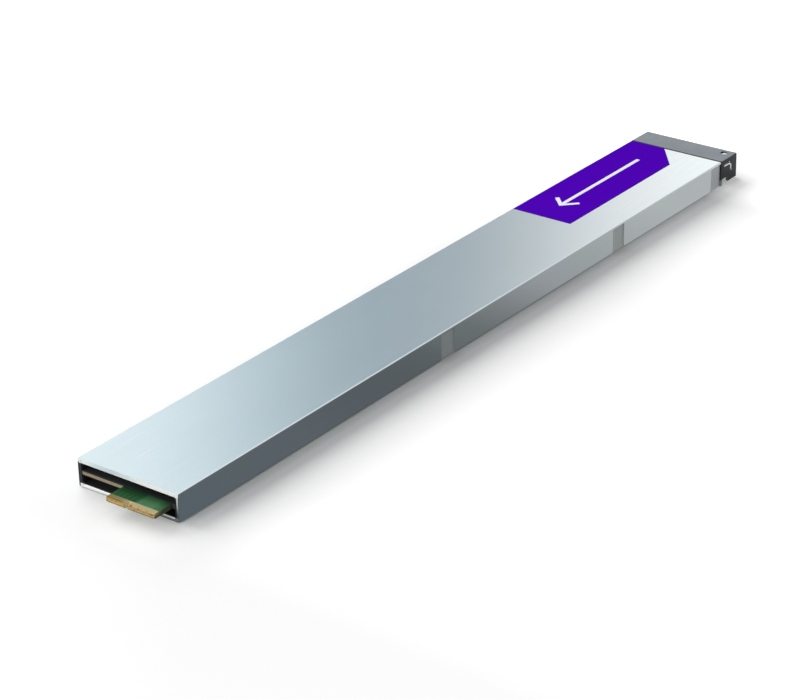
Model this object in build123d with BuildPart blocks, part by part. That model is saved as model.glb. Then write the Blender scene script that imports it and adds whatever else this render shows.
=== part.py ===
from build123d import *
import os

os.makedirs("parts", exist_ok=True)

# Outside form of the module: X across, Y from the card edge to the bracket, Z up
case_width = 38.4
case_height = 9.5
case_length = 299.95
tongue_reach = 7.8
bracket_length = 11.0

# Sheet and wall thicknesses
label_thickness = 0.08
skin_thickness = 0.45
spreader_thickness = 0.95
wall_thickness = 0.75
floor_thickness = 1.1
end_wall_thickness = 2.4
bracket_sheet = 0.8
film_thickness = 0.1

# Clearances between pieces that slide or drop into one another
skin_gap = 0.05
spreader_gap = 0.1
film_gap = 0.02
board_side_gap = 0.15
board_end_gap = 0.4
board_setback = 0.2
screw_gap = 0.15
thread_gap = 0.02
label_inset = 0.35
select_gap = 0.01

# Folded skin: bend radius, groove to the bracket and the gaps between its side flanges
skin_bend = 0.35
skin_end_gap = 0.3
flange_root = 0.15
flange_lift = 0.2
flange_gap = 7.1
flange_gap_starts = (126.7, 227.3)
flange_corner = 1.0

# Circuit board and card edge
standoff_height = 2.87
board_thickness = 1.57
tray_fillet = 0.45
lip_chamfer = 0.3
tongue_inset = 1.15
tongue_root_radius = 0.5
tongue_corner = 0.3
lead_in_length = 0.85
lead_in_depth = 0.35
key_width = 1.0
key_depth = 1.9
key_land = 0.07
contact_width = 0.36
contact_length = 1.55
contact_height = 0.05
contact_pitch = 0.6
contact_margin = 0.55
before_key_count = 12
after_key_count = 16

# Case screws: flat heads in the floor, threads in the bosses of the spreader
screw_diameter = 2.0
screw_head = 3.6
screw_tip_gap = 0.97
screw_sink = 0.05
boss_diameter = 4.0
boss_roof = 0.35
boss_wall_gap = 0.6
first_screw = 14.0
last_screw_setback = 16.0
drive_width = 1.2
drive_depth = 0.5

# Packages on the board: size across, size along and, where it is their own, height
controller_size = (21.0, 21.0)
dram_size = (9.0, 12.5, 1.0)
dram_gap = 5.0
power_chip_size = (6.0, 6.0, 0.9)
inductor_size = (7.0, 7.0)
inductor_gap = 2.0
inductor_corner = 0.6
nand_size = (14.0, 18.0, 1.3)
nand_gap = 1.2
nand_row_count = 4
capacitor_size = (4.3, 7.3)
capacitor_gap = 8.7
capacitor_row_count = 4
coupling_size = (0.5, 1.0, 0.5)
coupling_gap = 0.6
coupling_count = 16
coupling_setback = 8.0
mould_chamfer = 0.15
terminal_length = 1.2
terminal_height = 0.8
terminal_inset = 0.1

# Room left under the spreader by the tall packages
controller_pad_thickness = 0.88
inductor_headroom = 0.38
capacitor_headroom = 0.48
pipe_headroom = 0.48

# Insulating film: a thin trough on the tray's floor and walls
film_setback = 0.45
film_bend = 0.6
film_top_gap = 0.12
film_window_gap = 0.3

# Light pipe and the two lamps behind it
lamp_size = (1.6, 0.8, 0.6)
lamp_spacing = 4.0
pipe_offset = -8.0
pipe_width = 7.0
pipe_depth = 2.6
pipe_rim = 0.1
pipe_tip_reach = 0.3
pipe_gap = 0.1

# Bracket at the far end: hole, slit round the spring tab, notch and screws
bracket_bend = 0.3
corner_relief = 0.25
latch_hole = 2.8
latch_hole_side = 3.8
latch_hole_end = 2.45
slit_width = 0.6
slit_start = 2.2
slit_end = 7.3
slit_drop = 1.92
slit_depth = 3.3
notch_length = 5.0
notch_height = 2.35
foot_lift = 0.4
bracket_screw_spacing = 28.0
bracket_screw_height = 4.7
bracket_screw_length = 2.6
bracket_head = 3.8
bracket_head_height = 1.3
bracket_head_chamfer = 0.4

# Label on the top, at the bracket end
label_length = 77.3
label_width = 23.75
label_cut = (9.6, 12.0)

# Stations along Y
overall_length = tongue_reach + case_length + bracket_length
tip_y = -overall_length / 2
mouth_y = tip_y + tongue_reach
case_end_y = mouth_y + case_length
far_y = case_end_y + bracket_length
case_mid_y = (mouth_y + case_end_y) / 2
end_wall_y = case_end_y - end_wall_thickness
board_front_y = mouth_y + board_setback
board_back_y = end_wall_y - board_end_gap

# Half widths across X
outer_half = case_width / 2
tray_half = outer_half - skin_thickness - skin_gap
inner_half = tray_half - wall_thickness
board_half = inner_half - board_side_gap
spreader_half = inner_half - spreader_gap
boss_radius = boss_diameter / 2
screw_x = inner_half - boss_wall_gap - boss_radius

# Levels along Z
skin_top = case_height - label_thickness
skin_under = skin_top - skin_thickness
spreader_under = skin_under - spreader_thickness
board_under = floor_thickness + standoff_height
board_top = board_under + board_thickness
headroom = spreader_under - board_top
boss_hole_top = skin_under - boss_roof

# Between the first and the last bosses the packages and the middle bosses stand in a file,
# with one even gap between them all
last_screw = case_length - last_screw_setback
filed_length = (
    inductor_size[1] + controller_size[1] + dram_size[1] + boss_diameter
    + 2 * nand_row_count * nand_size[1] + capacitor_row_count * capacitor_size[1]
)
gap_count = 2 * nand_row_count + capacitor_row_count + 5
package_gap = (last_screw - first_screw - boss_diameter - filed_length) / gap_count

# Where each group starts, measured from the mouth of the case
power_start = first_screw + boss_radius + package_gap
controller_start = power_start + inductor_size[1] + package_gap
dram_start = controller_start + controller_size[1] + package_gap
row_pitch = nand_size[1] + package_gap
bank_length = nand_row_count * row_pitch - package_gap
first_bank = dram_start + dram_size[1] + package_gap
middle_screw = first_bank + bank_length + package_gap + boss_radius
second_bank = middle_screw + boss_radius + package_gap
capacitor_start = second_bank + bank_length + package_gap
capacitor_pitch = capacitor_size[1] + package_gap
bank_starts = (first_bank, second_bank)
screw_stations = (first_screw, middle_screw, last_screw)
screw_points = [(side * screw_x, mouth_y + s) for s in screw_stations for side in (-1, 1)]

# Card edge, worked out from its contacts
contact_count = before_key_count + after_key_count
key_skip = key_width + 2 * key_land + contact_width - contact_pitch
contact_span = (contact_count - 1) * contact_pitch + key_skip
tongue_width = contact_span + 2 * contact_margin
tongue_offset = board_half - tongue_inset - tongue_width / 2
tongue_left = tongue_offset - tongue_width / 2
first_contact_x = tongue_left + contact_margin
key_x = first_contact_x + (before_key_count - 0.5) * contact_pitch + key_skip / 2
contact_xs = [
    first_contact_x + i * contact_pitch + (key_skip if i >= before_key_count else 0)
    for i in range(contact_count)
]

# Light pipe tips and bracket screws lie on the end wall
pipe_height = headroom - pipe_headroom
pipe_tip = pipe_height - 2 * pipe_rim
pipe_tip_z = board_top + pipe_height / 2
pipe_tip_points = [(pipe_offset + side * lamp_spacing / 2, pipe_tip_z) for side in (-1, 1)]
bracket_screw_points = [
    (side * bracket_screw_spacing / 2, bracket_screw_height) for side in (-1, 1)
]
# Planes that face along +Y, so that a sketch's X is the model's -X and its Y is Z
end_wall_plane = Plane(origin=(0, end_wall_y, 0), x_dir=(-1, 0, 0), z_dir=(0, 1, 0))
case_end_plane = Plane(origin=(0, case_end_y, 0), x_dir=(-1, 0, 0), z_dir=(0, 1, 0))


def on_plane(points):
    """The points of an end plane, whose own X runs against the model's."""
    return [(-x, z) for x, z in points]


# Base tray: floor, two side walls and an end wall, with a standoff at each case screw
with BuildPart() as base_tray:
    with BuildSketch():
        with Locations((0, case_mid_y)):
            Rectangle(2 * tray_half, case_length)
    extrude(amount=skin_under)
    with BuildSketch(Plane.XY.offset(floor_thickness)):
        with Locations((0, (mouth_y + end_wall_y) / 2)):
            Rectangle(2 * inner_half, end_wall_y - mouth_y)
    extrude(amount=skin_under, mode=Mode.SUBTRACT)
    inside_corners = (
        base_tray.edges()
        .filter_by(Axis.Y)
        .filter_by_position(Axis.Z, floor_thickness - select_gap, floor_thickness + select_gap)
    )
    fillet(inside_corners, radius=tray_fillet)
    # Broken edge along the front of the floor
    lip_half = inner_half - tray_fillet
    with BuildSketch(Plane.YZ.offset(-lip_half)):
        with BuildLine():
            Polyline(
                (mouth_y, floor_thickness),
                (mouth_y, floor_thickness - lip_chamfer),
                (mouth_y + lip_chamfer, floor_thickness),
                close=True,
            )
        make_face()
    extrude(amount=2 * lip_half, mode=Mode.SUBTRACT)
    with BuildSketch(Plane.XY.offset(floor_thickness)):
        with Locations(*screw_points):
            Circle(boss_radius)
    extrude(amount=standoff_height)
    with Locations(*[Location((x, y, 0), (180, 0, 0)) for x, y in screw_points]):
        CounterSinkHole(
            radius=screw_diameter / 2 + screw_gap,
            counter_sink_radius=screw_head / 2 + screw_gap,
            counter_sink_angle=90,
        )
    with BuildSketch(end_wall_plane):
        with Locations(*on_plane(pipe_tip_points)):
            Circle(pipe_tip / 2 + pipe_gap)
    extrude(amount=end_wall_thickness, mode=Mode.SUBTRACT)
    with BuildSketch(case_end_plane):
        with Locations(*on_plane(bracket_screw_points)):
            Circle(screw_diameter / 2 + thread_gap)
    extrude(amount=-(bracket_screw_length - bracket_sheet + screw_gap), mode=Mode.SUBTRACT)
base_tray.part.label = "base_tray"
export_step(base_tray.part, "parts/base_tray.step")

# Top cover: one folded sheet over the tray, its side flanges parted by gaps
gap_starts = flange_gap_starts + (case_length - flange_gap,)
gap_top = skin_under - flange_root
skin_length = case_length - skin_end_gap
with BuildPart() as top_cover:
    with BuildSketch(Plane.XY.offset(flange_lift)):
        with Locations((0, mouth_y)):
            Rectangle(case_width, skin_length, align=(Align.CENTER, Align.MIN))
    extrude(amount=skin_top - flange_lift)
    fillet(top_cover.edges().filter_by(Axis.Y).group_by(Axis.Z)[-1], radius=skin_bend)
    with BuildSketch(Plane.XY.offset(flange_lift)):
        with Locations((0, case_mid_y)):
            Rectangle(case_width - 2 * skin_thickness, case_length)
    extrude(amount=skin_under - flange_lift, mode=Mode.SUBTRACT)
    with BuildSketch(Plane.YZ.offset(-outer_half)):
        for start in gap_starts:
            with Locations((mouth_y + start, 0)):
                Rectangle(flange_gap, gap_top, align=(Align.MIN, Align.MIN))
    extrude(amount=case_width, mode=Mode.SUBTRACT)
    flange_corners = (
        top_cover.edges()
        .filter_by(Axis.X)
        .group_by(Axis.Z)[0]
        .filter_by_position(Axis.Y, mouth_y + flange_corner, case_end_y)
    )
    fillet(flange_corners, radius=flange_corner)
top_cover.part.label = "top_cover"
export_step(top_cover.part, "parts/top_cover.step")

# Heat spreader: plate under the skin, with a threaded boss over each standoff
with BuildPart() as heat_spreader:
    spreader_back_y = end_wall_y - spreader_gap
    with BuildSketch(Plane.XY.offset(spreader_under)):
        with Locations((0, (mouth_y + spreader_back_y) / 2)):
            Rectangle(2 * spreader_half, spreader_back_y - mouth_y)
    extrude(amount=spreader_thickness)
    with BuildSketch(Plane.XY.offset(board_top)):
        with Locations(*screw_points):
            Circle(boss_radius)
    extrude(amount=spreader_under - board_top)
    with BuildSketch(Plane.XY.offset(board_top)):
        with Locations(*screw_points):
            Circle(screw_diameter / 2 + thread_gap)
    extrude(amount=boss_hole_top - board_top, mode=Mode.SUBTRACT)
heat_spreader.part.label = "heat_spreader"
export_step(heat_spreader.part, "parts/heat_spreader.step")

# Insulating film: trough bent up along both walls, with windows round what it must clear
film_half = inner_half - film_gap
film_height = spreader_under - film_top_gap - floor_thickness
film_front_y = mouth_y + film_setback
film_plane = Plane(origin=(0, film_front_y, floor_thickness), x_dir=(-1, 0, 0), z_dir=(0, 1, 0))
with BuildPart() as insulating_film:
    with BuildSketch(film_plane):
        with BuildLine():
            FilletPolyline(
                (film_half, film_height),
                (film_half, 0),
                (-film_half, 0),
                (-film_half, film_height),
                radius=film_bend,
            )
            offset(amount=film_thickness, side=Side.RIGHT)
        make_face()
    extrude(amount=board_back_y - film_front_y)
    with BuildSketch(Plane.XY.offset(floor_thickness)):
        for start in bank_starts:
            with Locations((0, mouth_y + start + bank_length / 2)):
                Rectangle(nand_size[0] + 2 * film_window_gap, bank_length + 2 * film_window_gap)
        with Locations(*screw_points):
            Rectangle(boss_diameter + 2 * film_window_gap, boss_diameter + 2 * film_window_gap)
    extrude(amount=film_bend, mode=Mode.SUBTRACT)
insulating_film.part.label = "insulating_film"
export_step(insulating_film.part, "parts/insulating_film.step")

# Label: thin rectangle with one corner cut off, flat on the cover
label_left = -outer_half + label_inset
label_right = label_left + label_width
label_far = case_end_y - label_inset
label_near = label_far - label_length
with BuildPart() as label:
    with BuildSketch(Plane.XY.offset(skin_top)):
        with BuildLine():
            Polyline(
                (label_left, label_near),
                (label_right, label_near),
                (label_right, label_far - label_cut[1]),
                (label_right - label_cut[0], label_far),
                (label_left, label_far),
                close=True,
            )
        make_face()
    extrude(amount=label_thickness)
label.part.label = "label"
export_step(label.part, "parts/label.step")

# Main board: full-width board with the card-edge tongue set to one side
with BuildPart() as main_board:
    with BuildSketch(Plane.XY.offset(board_under)) as board_outline:
        with Locations((0, (board_front_y + board_back_y) / 2)):
            Rectangle(2 * board_half, board_back_y - board_front_y)
        with Locations((tongue_offset, tip_y)):
            Rectangle(
                tongue_width, board_front_y - tip_y, align=(Align.CENTER, Align.MIN)
            )
        tongue_roots = board_outline.vertices().filter_by_position(
            Axis.Y, board_front_y - select_gap, board_front_y + select_gap
        )
        tongue_roots = tongue_roots.filter_by_position(
            Axis.X, tongue_left - select_gap, tongue_left + tongue_width + select_gap
        )
        fillet(tongue_roots, radius=tongue_root_radius)
        chamfer(board_outline.vertices().group_by(Axis.Y)[0], length=tongue_corner)
        with Locations((key_x, tip_y)):
            SlotOverall(2 * key_depth, key_width, rotation=90, mode=Mode.SUBTRACT)
        with Locations(*screw_points):
            Circle(screw_diameter / 2 + screw_gap, mode=Mode.SUBTRACT)
    extrude(amount=board_thickness)
    # Long flat bevels lead the tip in, above and below
    with BuildSketch(Plane.YZ.offset(tongue_left)):
        for face_z, depth in ((board_top, lead_in_depth), (board_under, -lead_in_depth)):
            with BuildLine():
                Polyline(
                    (tip_y, face_z),
                    (tip_y + lead_in_length, face_z),
                    (tip_y, face_z - depth),
                    close=True,
                )
            make_face()
    extrude(amount=tongue_width, mode=Mode.SUBTRACT)
main_board.part.label = "main_board"
export_step(main_board.part, "parts/main_board.step")

# Edge contacts: a row of plated fingers on each face of the tongue
contact_y = tip_y + lead_in_length + contact_length / 2
for side, contact_z in (("top", board_top), ("bottom", board_under - contact_height)):
    with BuildPart() as edge_contacts:
        with BuildSketch(Plane.XY.offset(contact_z)):
            with Locations(*[(x, contact_y) for x in contact_xs]):
                Rectangle(contact_width, contact_length)
        extrude(amount=contact_height)
    edge_contacts.part.label = f"edge_contacts_{side}"
    export_step(edge_contacts.part, f"parts/edge_contacts_{side}.step")

# Controller: moulded package with chamfered rim, in front of the memory
controller_y = mouth_y + controller_start + controller_size[1] / 2
controller_height = headroom - controller_pad_thickness
with BuildPart() as controller:
    with BuildSketch(Plane.XY.offset(board_top)):
        with Locations((0, controller_y)):
            Rectangle(controller_size[0], controller_size[1])
    extrude(amount=controller_height)
    chamfer(controller.faces().sort_by(Axis.Z)[-1].edges(), length=mould_chamfer)
controller.part.label = "controller"
export_step(controller.part, "parts/controller.step")

# Power chip between the two inductors
power_y = mouth_y + power_start + inductor_size[1] / 2
with BuildPart() as power_chip:
    with BuildSketch(Plane.XY.offset(board_top)):
        with Locations((0, power_y)):
            Rectangle(power_chip_size[0], power_chip_size[1])
    extrude(amount=power_chip_size[2])
    chamfer(power_chip.faces().sort_by(Axis.Z)[-1].edges(), length=mould_chamfer)
power_chip.part.label = "power_chip"
export_step(power_chip.part, "parts/power_chip.step")

# Inductors: moulded blocks with upright corners cut off
inductor_spacing = power_chip_size[0] + inductor_size[0] + 2 * inductor_gap
for number, side in enumerate((-1, 1), start=1):
    with BuildPart() as inductor:
        with BuildSketch(Plane.XY.offset(board_top)) as inductor_outline:
            with Locations((side * inductor_spacing / 2, power_y)):
                Rectangle(inductor_size[0], inductor_size[1])
            chamfer(inductor_outline.vertices(), length=inductor_corner)
        extrude(amount=headroom - inductor_headroom)
    inductor.part.label = f"inductor_{number}"
    export_step(inductor.part, f"parts/inductor_{number}.step")

# Working memory: two packages side by side behind the controller
dram_y = mouth_y + dram_start + dram_size[1] / 2
dram_spacing = dram_size[0] + dram_gap
for number, side in enumerate((-1, 1), start=1):
    with BuildPart() as dram:
        with BuildSketch(Plane.XY.offset(board_top)):
            with Locations((side * dram_spacing / 2, dram_y)):
                Rectangle(dram_size[0], dram_size[1])
        extrude(amount=dram_size[2])
    dram.part.label = f"dram_{number}"
    export_step(dram.part, f"parts/dram_{number}.step")

# Flash memory: two banks, in two columns on the top and one column underneath
nand_spacing = nand_size[0] + nand_gap
row_ys = [
    mouth_y + start + row * row_pitch + nand_size[1] / 2
    for start in bank_starts
    for row in range(nand_row_count)
]
top_places = [(side * nand_spacing / 2, y) for y in row_ys for side in (-1, 1)]
bottom_places = [(0, y) for y in row_ys]
nand_under = board_under - nand_size[2]
for face, base_z, places in (
    ("top", board_top, top_places),
    ("bottom", nand_under, bottom_places),
):
    for number, place in enumerate(places, start=1):
        with BuildPart() as nand:
            with BuildSketch(Plane.XY.offset(base_z)):
                with Locations(place):
                    Rectangle(nand_size[0], nand_size[1])
            extrude(amount=nand_size[2])
        nand.part.label = f"nand_{face}_{number}"
        export_step(nand.part, f"parts/nand_{face}_{number}.step")

# Thermal pads fill the gaps from the packages to the spreader and to the floor
nand_top = board_top + nand_size[2]
top_pad_width = nand_spacing + nand_size[0]
pads = [
    ("controller_pad", controller_size[0], controller_start, controller_size[1],
     board_top + controller_height, spreader_under),
    ("dram_pad", dram_spacing + dram_size[0], dram_start, dram_size[1],
     board_top + dram_size[2], spreader_under),
]
for number, start in enumerate(bank_starts, start=1):
    pads.append((f"nand_pad_top_{number}", top_pad_width, start, bank_length,
                 nand_top, spreader_under))
    pads.append((f"nand_pad_bottom_{number}", nand_size[0], start, bank_length,
                 floor_thickness, nand_under))
for pad_name, width, start, length, low, high in pads:
    with BuildPart() as pad:
        with BuildSketch(Plane.XY.offset(low)):
            with Locations((0, mouth_y + start + length / 2)):
                Rectangle(width, length)
        extrude(amount=high - low)
    pad.part.label = pad_name
    export_step(pad.part, f"parts/{pad_name}.step")

# Hold-up capacitors: moulded blocks whose end terminals wrap up both ends
capacitor_spacing = capacitor_size[0] + capacitor_gap
capacitor_places = [
    (side * capacitor_spacing / 2,
     mouth_y + capacitor_start + row * capacitor_pitch + capacitor_size[1] / 2)
    for row in range(capacitor_row_count)
    for side in (-1, 1)
]
for number, place in enumerate(capacitor_places, start=1):
    with BuildPart() as capacitor:
        with BuildSketch(Plane.XY.offset(board_top)):
            with Locations(place):
                Rectangle(capacitor_size[0], capacitor_size[1] - 2 * terminal_inset)
        extrude(amount=headroom - capacitor_headroom)
        with BuildSketch(Plane.XY.offset(board_top)):
            for end in (-1, 1):
                end_y = place[1] + end * (capacitor_size[1] - terminal_length) / 2
                with Locations((place[0], end_y)):
                    Rectangle(capacitor_size[0] / 2, terminal_length)
        extrude(amount=terminal_height)
    capacitor.part.label = f"hold_up_capacitor_{number}"
    export_step(capacitor.part, f"parts/hold_up_capacitor_{number}.step")

# Coupling capacitors: a row of small chips behind the card edge
coupling_y = mouth_y + coupling_setback
with BuildPart() as coupling_capacitors:
    with BuildSketch(Plane.XY.offset(board_top)):
        with Locations((tongue_offset, coupling_y)):
            with GridLocations(coupling_size[0] + coupling_gap, 1, coupling_count, 1):
                Rectangle(coupling_size[0], coupling_size[1])
    extrude(amount=coupling_size[2])
coupling_capacitors.part.label = "coupling_capacitors"
export_step(coupling_capacitors.part, "parts/coupling_capacitors.step")

# Light pipe: a block on the board with two round tips through the end wall and bracket
pipe_back_y = board_back_y - board_end_gap
pipe_front_y = pipe_back_y - pipe_depth
with BuildPart() as light_pipe:
    with BuildSketch(Plane.XY.offset(board_top)):
        with Locations((pipe_offset, pipe_front_y + pipe_depth / 2)):
            Rectangle(pipe_width, pipe_depth)
    extrude(amount=pipe_height)
    tip_plane = Plane(origin=(0, pipe_back_y, 0), x_dir=(-1, 0, 0), z_dir=(0, 1, 0))
    tip_length = case_end_y + bracket_sheet + pipe_tip_reach - pipe_back_y
    with BuildSketch(tip_plane):
        with Locations(*on_plane(pipe_tip_points)):
            Circle(pipe_tip / 2)
    extrude(amount=tip_length)
light_pipe.part.label = "light_pipe"
export_step(light_pipe.part, "parts/light_pipe.step")

# Status lamps in front of the light pipe, one for each tip
lamp_y = pipe_front_y - pipe_gap - lamp_size[1] / 2
for number, side in enumerate((-1, 1), start=1):
    with BuildPart() as status_lamp:
        with BuildSketch(Plane.XY.offset(board_top)):
            with Locations((pipe_offset + side * lamp_spacing / 2, lamp_y)):
                Rectangle(lamp_size[0], lamp_size[1])
        extrude(amount=lamp_size[2])
    status_lamp.part.label = f"status_lamp_{number}"
    export_step(status_lamp.part, f"parts/status_lamp_{number}.step")

# End bracket: one sheet folded down into an end plate and two side walls
top_under = skin_top - bracket_sheet
bay_front_y = case_end_y + bracket_sheet
with BuildPart() as end_bracket:
    with BuildSketch():
        with Locations((0, case_end_y)):
            Rectangle(case_width, bracket_length, align=(Align.CENTER, Align.MIN))
    extrude(amount=skin_top)
    with BuildSketch():
        with Locations((0, bay_front_y)):
            Rectangle(
                case_width - 2 * bracket_sheet,
                bracket_length - bracket_sheet,
                align=(Align.CENTER, Align.MIN),
            )
    extrude(amount=top_under, mode=Mode.SUBTRACT)
    fillet(end_bracket.edges().filter_by(Axis.Y).group_by(Axis.Z)[-1], radius=bracket_bend)
    # Side profile of both walls: corner relief, notch, lifted foot and the L-shaped slit
    with BuildSketch(Plane.YZ.offset(-outer_half)) as wall_cuts:
        with Locations((bay_front_y, 0)):
            Rectangle(corner_relief, skin_top - bracket_sheet - bracket_bend,
                      align=(Align.MIN, Align.MIN))
        with Locations((bay_front_y, 0)):
            Rectangle(notch_length - bracket_sheet, notch_height,
                      align=(Align.MIN, Align.MIN))
        with Locations((bay_front_y, 0)):
            Rectangle(bracket_length - bracket_sheet, foot_lift,
                      align=(Align.MIN, Align.MIN))
        slit_height = skin_top - slit_drop
        slit_near = case_end_y + slit_start
        slit_far = case_end_y + slit_end
        with BuildLine() as slit_path:
            FilletPolyline(
                (slit_near, slit_height),
                (slit_far, slit_height),
                (slit_far, slit_height - slit_depth),
                radius=slit_width,
            )
        SlotArc(slit_path.wire(), height=slit_width)
    extrude(amount=case_width, mode=Mode.SUBTRACT)
    hole_x = outer_half - latch_hole_side
    hole_y = far_y - latch_hole_end
    with BuildSketch(Plane.XY.offset(top_under)):
        with Locations((hole_x, hole_y)):
            Circle(latch_hole / 2)
    extrude(amount=bracket_sheet, mode=Mode.SUBTRACT)
    with BuildSketch(case_end_plane):
        with Locations(*on_plane(pipe_tip_points)):
            Circle(pipe_tip / 2 + pipe_gap)
        with Locations(*on_plane(bracket_screw_points)):
            Circle(screw_diameter / 2 + screw_gap)
    extrude(amount=bracket_sheet, mode=Mode.SUBTRACT)
end_bracket.part.label = "end_bracket"
export_step(end_bracket.part, "parts/end_bracket.step")

# Case screws: flat heads sunk in the floor, with a cross drive
shank_radius = screw_diameter / 2
head_radius = screw_head / 2
with BuildPart() as case_screws:
    with Locations(*[(x, y, screw_sink) for x, y in screw_points]):
        Cone(
            bottom_radius=head_radius,
            top_radius=shank_radius,
            height=head_radius - shank_radius,
            align=(Align.CENTER, Align.CENTER, Align.MIN),
        )
        Cylinder(
            radius=shank_radius,
            height=boss_hole_top - screw_tip_gap - screw_sink,
            align=(Align.CENTER, Align.CENTER, Align.MIN),
        )
    with BuildSketch(Plane.XY.offset(screw_sink)):
        with Locations(*screw_points):
            Rectangle(2 * drive_width, drive_width / 3)
            Rectangle(drive_width / 3, 2 * drive_width)
    extrude(amount=drive_depth, mode=Mode.SUBTRACT)
case_screws.part.label = "case_screws"
export_step(case_screws.part, "parts/case_screws.step")

# Bracket screws: pan heads against the end plate, threads in the end wall
head_plane = Plane(origin=(0, bay_front_y, 0), x_dir=(-1, 0, 0), z_dir=(0, 1, 0))
with BuildPart() as bracket_screws:
    with BuildSketch(head_plane):
        with Locations(*on_plane(bracket_screw_points)):
            Circle(bracket_head / 2)
    extrude(amount=bracket_head_height)
    chamfer(
        bracket_screws.faces().group_by(Axis.Y)[-1].edges(), length=bracket_head_chamfer
    )
    with BuildSketch(head_plane):
        with Locations(*on_plane(bracket_screw_points)):
            Circle(shank_radius)
    extrude(amount=-bracket_screw_length)
    drive_plane = head_plane.offset(bracket_head_height)
    with BuildSketch(drive_plane):
        with Locations(*on_plane(bracket_screw_points)):
            Rectangle(2 * drive_width, drive_width / 3)
            Rectangle(drive_width / 3, 2 * drive_width)
    extrude(amount=-drive_depth, mode=Mode.SUBTRACT)
bracket_screws.part.label = "bracket_screws"
export_step(bracket_screws.part, "parts/bracket_screws.step")
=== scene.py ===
import math

import bmesh
import bpy
from mathutils import Matrix, Vector


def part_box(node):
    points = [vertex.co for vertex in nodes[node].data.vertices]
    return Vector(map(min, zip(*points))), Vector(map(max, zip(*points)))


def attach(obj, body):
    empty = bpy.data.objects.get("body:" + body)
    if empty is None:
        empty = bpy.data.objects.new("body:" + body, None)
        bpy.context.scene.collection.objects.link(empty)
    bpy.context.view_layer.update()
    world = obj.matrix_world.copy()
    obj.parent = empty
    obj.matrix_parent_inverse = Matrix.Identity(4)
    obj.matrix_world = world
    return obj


bl_info = {
    "name": "Ruler storage module",
    "version": (1, 0, 0),
    "blender": (4, 5, 0),
    "location": "View3D > Sidebar > Ruler module",
    "description": "Finishes and studio for a ruler-shaped solid-state storage module",
    "category": "Object",
}

MM = 0.001
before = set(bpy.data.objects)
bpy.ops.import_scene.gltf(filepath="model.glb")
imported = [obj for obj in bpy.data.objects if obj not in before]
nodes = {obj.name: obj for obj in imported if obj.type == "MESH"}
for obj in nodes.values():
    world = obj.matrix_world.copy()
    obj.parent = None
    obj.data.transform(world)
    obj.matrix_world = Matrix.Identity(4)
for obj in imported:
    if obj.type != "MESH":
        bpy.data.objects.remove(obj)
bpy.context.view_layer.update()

# Places that the finishes need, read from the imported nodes, in metres
cover_low, cover_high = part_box("top_cover")
tray_low, tray_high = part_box("base_tray")
board_low, board_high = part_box("main_board")
bracket_low, bracket_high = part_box("end_bracket")
label_low, label_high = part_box("label")
finger_low, finger_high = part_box("edge_contacts_top")
coupling_low, coupling_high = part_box("coupling_capacitors")
# The cut edges of the cover and the heat spreader over the mouth end at this height
edge_foot = cover_high.z - 0.9 * MM

# Nearly all of a noise lies between these levels, which are spread to full contrast. A soft
# finish keeps the noise as it is
STRONG = (0.3, 0.7)
SOFT = (0.0, 1.0)


def linear(code):
    """An sRGB hex colour as a linear colour with alpha."""
    parts = [int(code[i:i + 2], 16) / 255 for i in (1, 3, 5)]
    return tuple(
        c / 12.92 if c <= 0.04045 else ((c + 0.055) / 1.055) ** 2.4 for c in parts
    ) + (1.0,)


def toned(colour, factor):
    """The same linear colour, lighter or darker by a factor."""
    return tuple(c * factor for c in colour[:3]) + (1.0,)


def add(tree, kind, inputs=None, output=0, **settings):
    """Adds a node with its settings, fills its inputs with values or links, and gives back one
    of its outputs."""
    node = tree.nodes.new(kind)
    for key, value in settings.items():
        setattr(node, key, value)
    for key, value in (inputs or {}).items():
        if isinstance(value, bpy.types.NodeSocket):
            tree.links.new(value, node.inputs[key])
        else:
            node.inputs[key].default_value = value
    return node.outputs[output] if node.outputs else None


def new_material(name):
    """An empty node material and its tree."""
    material = bpy.data.materials.new(name)
    material.use_nodes = True
    material.node_tree.nodes.clear()
    return material, material.node_tree


def object_xyz(tree):
    """Object coordinates as a vector and as three numbers, in metres."""
    place = add(tree, "ShaderNodeTexCoord", output="Object")
    return place, *add(tree, "ShaderNodeSeparateXYZ", {"Vector": place}).node.outputs


def facing_xyz(tree):
    """The face's normal as three numbers."""
    normal = add(tree, "ShaderNodeNewGeometry", output="Normal")
    return tuple(add(tree, "ShaderNodeSeparateXYZ", {"Vector": normal}).node.outputs)


def where(tree, *tests):
    """How far all the tests hold, from 0 to 1. A test is a value under or over a limit, as in
    (y, "<", limit), a value that fades in from one place to another, as in (y, from, to), or a
    share that is known already. The shares are multiplied."""
    share = None
    for test in tests:
        if isinstance(test, tuple):
            value, start, end = test
            if start in ("<", ">"):
                operation = "LESS_THAN" if start == "<" else "GREATER_THAN"
                test = add(tree, "ShaderNodeMath", {0: value, 1: end}, operation=operation)
            else:
                test = add(tree, "ShaderNodeMapRange",
                           {"Value": value, "From Min": start, "From Max": end})
        if share is not None:
            test = add(tree, "ShaderNodeMath", {0: share, 1: test}, operation="MULTIPLY")
        share = test
    return share


def lay_over(tree, colour, *layers):
    """Lays colours over a colour, one after another. A layer is the share that it covers and
    its colour. A colour is a hex code, a linear colour or a socket."""
    for share, over in layers:
        first, second = (linear(c) if isinstance(c, str) else c for c in (colour, over))
        colour = add(tree, "ShaderNodeMix", {"Factor": share, 6: first, 7: second}, 2,
                     data_type="RGBA")
    return colour


def graded(tree, value, low, high, stops):
    """Colours that follow one another along a value. A stop is its place, 0 at low and 1 at
    high, and its hex code."""
    share = where(tree, (value, low, high))
    colour = add(tree, "ShaderNodeValToRGB", {"Fac": share})
    elements = colour.node.color_ramp.elements
    while len(elements) < len(stops):
        elements.new(0.5)
    for element, (place, code) in zip(elements, stops):
        element.position = place
        element.color = linear(code)
    return colour


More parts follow.
